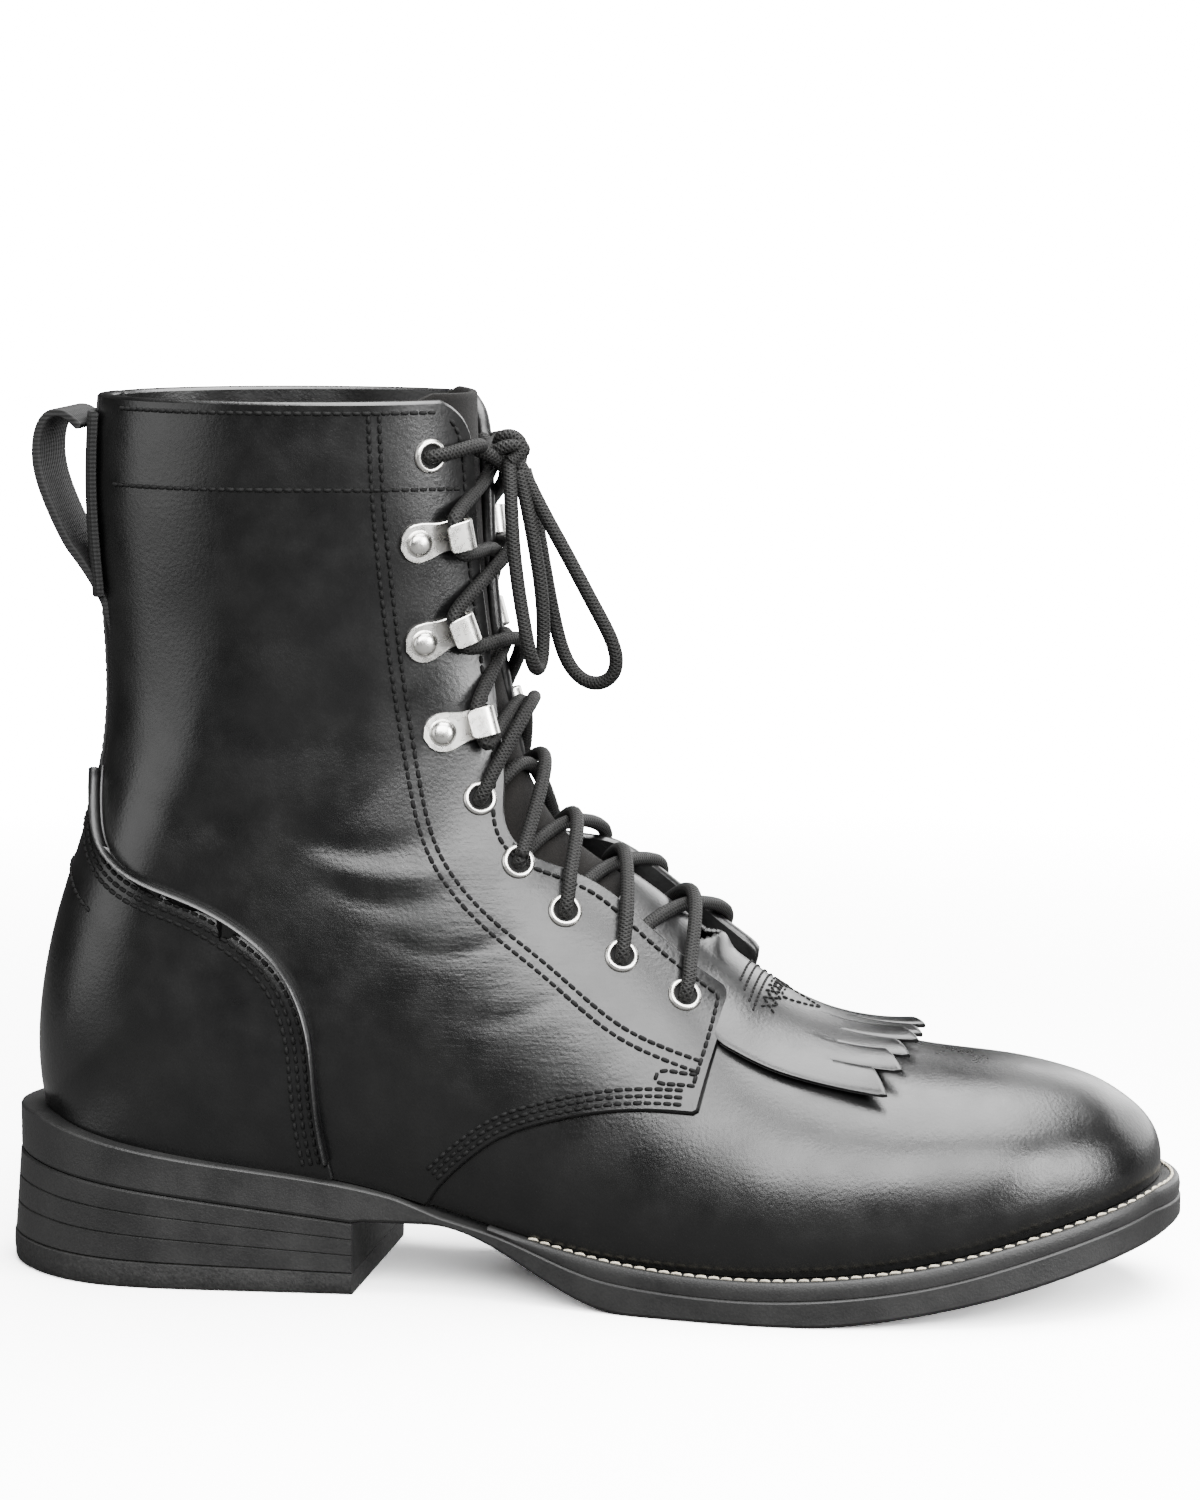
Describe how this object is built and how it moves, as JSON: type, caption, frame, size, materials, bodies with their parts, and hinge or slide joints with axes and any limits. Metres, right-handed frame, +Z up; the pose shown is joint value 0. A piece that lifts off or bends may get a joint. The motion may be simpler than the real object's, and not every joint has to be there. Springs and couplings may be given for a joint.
{
  "type": "lace-up boot",
  "caption": "Ankle-high leather lace-up boot with a fringed kiltie over the vamp, eyelets and speed hooks, a back pull loop, a welted sole and a stacked heel.",
  "frame": {"origin": "middle of the boot's box on the floor, under the waist of the sole", "axes": "+X towards the toe, +Y towards the inner (medial) side, +Z up"},
  "size_m": [0.3118, 0.1048, 0.2335],
  "materials": {
    "leather": "smooth black, satin",
    "suede": "matt napped",
    "rubber": "matt, dark",
    "insole": "matt",
    "webbing": "ribbed",
    "cord": "braided",
    "nickel": "satin nickel"
  },
  "bodies": {
    "root": {"outsole": "rubber", "welt": "rubber", "heel_stack": "rubber", "heel_top_lift": "rubber", "insole": "insole", "upper": "leather", "quarter_lateral": "leather", "quarter_medial": "leather", "counter": "leather", "back_strip": "leather", "tongue": "suede", "kiltie": "leather", "pull_loop": "webbing", "eyelet_lateral_1": "nickel", "eyelet_lateral_2": "nickel", "eyelet_lateral_3": "nickel", "eyelet_lateral_4": "nickel", "eyelet_lateral_5": "nickel", "eyelet_lateral_6": "nickel", "hook_lateral_1": "nickel", "hook_lateral_2": "nickel", "hook_lateral_3": "nickel", "eyelet_medial_1": "nickel", "eyelet_medial_2": "nickel", "eyelet_medial_3": "nickel", "eyelet_medial_4": "nickel", "eyelet_medial_5": "nickel", "eyelet_medial_6": "nickel", "hook_medial_1": "nickel", "hook_medial_2": "nickel", "hook_medial_3": "nickel", "lace_crossing_1": "cord", "lace_crossing_2": "cord", "lace_crossing_3": "cord", "lace_crossing_4": "cord", "lace_crossing_5": "cord", "lace_crossing_6": "cord", "lace_crossing_7": "cord", "lace_crossing_8": "cord", "lace_knot": "cord", "lace_loop_side": "cord", "lace_loop_front": "cord"}
  },
  "joints": []
}
